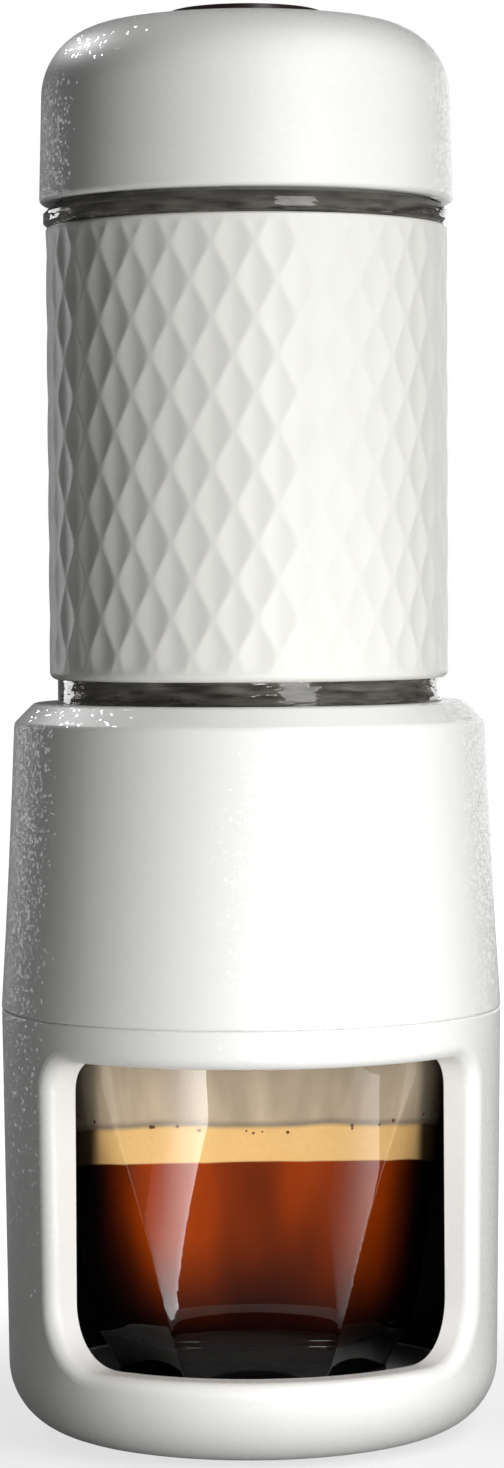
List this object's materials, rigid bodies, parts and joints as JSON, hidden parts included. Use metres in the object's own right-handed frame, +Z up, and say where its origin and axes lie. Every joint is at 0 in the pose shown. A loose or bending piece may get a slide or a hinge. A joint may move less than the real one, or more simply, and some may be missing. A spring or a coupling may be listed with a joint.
{
  "type": "handheld manual espresso maker",
  "caption": "Round white hand-pumped espresso maker: domed pump cap over a gripped water tank, a brewing body, and a windowed base that holds a faceted glass cup.",
  "frame": {"origin": "centre of the foot's underside, where the maker stands on a table", "axes": "+Z up along the common axis, the window faces -Y"},
  "size_m": [0.075, 0.075, 0.2134],
  "materials": {
    "pearl_white": "satin pearl white, moulded",
    "grey_plastic": "plain moulded",
    "foot_rubber": "soft matte",
    "mat_rubber": "soft matte",
    "screw_steel": "zinc plated",
    "cup_glass": "clear pressed glass",
    "black_plastic": "heat proof black",
    "black_silicone": "soft silicone",
    "basket_steel": "stainless, brushed",
    "white_silicone": "food grade silicone",
    "smoke_clear": "clear moulded copolyester",
    "grip_white": "soft white grip with a relief of diamonds",
    "bush_plastic": "low friction acetal",
    "badge_gloss": "polished dark brown"
  },
  "bodies": {
    "base": {"base_shell": "pearl_white", "base_plate": "grey_plastic", "base_screws": "screw_steel", "foot_pad": "foot_rubber", "cup_mat": "mat_rubber"},
    "cup": {"glass_cup": "cup_glass"},
    "main_body": {"body_shell": "pearl_white", "body_deck": "grey_plastic", "thread_liner": "grey_plastic", "deck_screws": "screw_steel", "brew_chamber": "black_plastic", "outlet_nozzle": "black_silicone"},
    "basket": {"filter_basket": "basket_steel"},
    "group_seal": {"group_gasket": "white_silicone"},
    "tank": {"water_tank": "smoke_clear", "grip_sleeve": "grip_white", "shower_screen": "basket_steel", "shower_screw": "basket_steel"},
    "head_seal": {"head_gasket": "white_silicone"},
    "pump_head": {"head_lid": "grey_plastic", "pump_cylinder": "grey_plastic", "cylinder_seal": "black_silicone", "valve_block": "grey_plastic", "valve_retainer": "basket_steel", "valve_spring": "basket_steel", "rod_bush": "bush_plastic", "rod_wiper": "black_silicone", "return_spring": "basket_steel"},
    "valve_ball": {"outlet_ball": "basket_steel"},
    "piston": {"piston_head": "black_plastic", "piston_seal_low": "black_silicone", "piston_seal_high": "black_silicone", "piston_rod": "basket_steel", "cap_hub": "screw_steel", "cap_screw": "screw_steel"},
    "cap": {"cap_shell": "pearl_white", "cap_badge": "badge_gloss"}
  },
  "joints": [
    {"name": "body_lift", "type": "slide", "parent": "base", "child": "main_body", "axis": [0, 0, 1], "range_m": [0, 0.14]},
    {"name": "cup_lift", "type": "slide", "parent": "base", "child": "cup", "axis": [0, 0, 1], "range_m": [0, 0.063]},
    {"name": "tank_lift", "type": "slide", "parent": "main_body", "child": "group_seal", "axis": [0, 0, 1], "range_m": [0, 0.06]},
    {"name": "tank_turn", "type": "hinge", "parent": "group_seal", "child": "tank", "pos_m": [0, 0, 0.096], "axis": [0, 0, 1], "range_deg": [0, 120]},
    {"name": "basket_lift", "type": "slide", "parent": "main_body", "child": "basket", "axis": [0, 0, 1], "range_m": [0, 0.03]},
    {"name": "head_lift", "type": "slide", "parent": "tank", "child": "head_seal", "axis": [0, 0, 1], "range_m": [0, 0.09]},
    {"name": "head_turn", "type": "hinge", "parent": "head_seal", "child": "pump_head", "pos_m": [0, 0, 0.1846], "axis": [0, 0, 1], "range_deg": [0, 120]},
    {"name": "outlet_valve", "type": "slide", "parent": "pump_head", "child": "valve_ball", "axis": [0, 0, -1], "range_m": [0, 0.0008], "stiffness_N_per_m": 60, "springref_m": -0.001, "deforming": ["valve_spring"]},
    {"name": "pump_stroke", "type": "slide", "parent": "pump_head", "child": "piston", "axis": [0, 0, 1], "range_m": [0, 0.03], "deforming": ["return_spring"]},
    {"name": "cap_turn", "type": "hinge", "parent": "piston", "child": "cap", "pos_m": [0, 0, 0.206], "axis": [0, 0, 1], "range_deg": [0, 35]}
  ],
  "couplings": [
    {"joint": "cup_lift", "follows": "body_lift", "ratio": 0.45},
    {"joint": "basket_lift", "follows": "tank_lift", "ratio": 0.5}
  ]
}
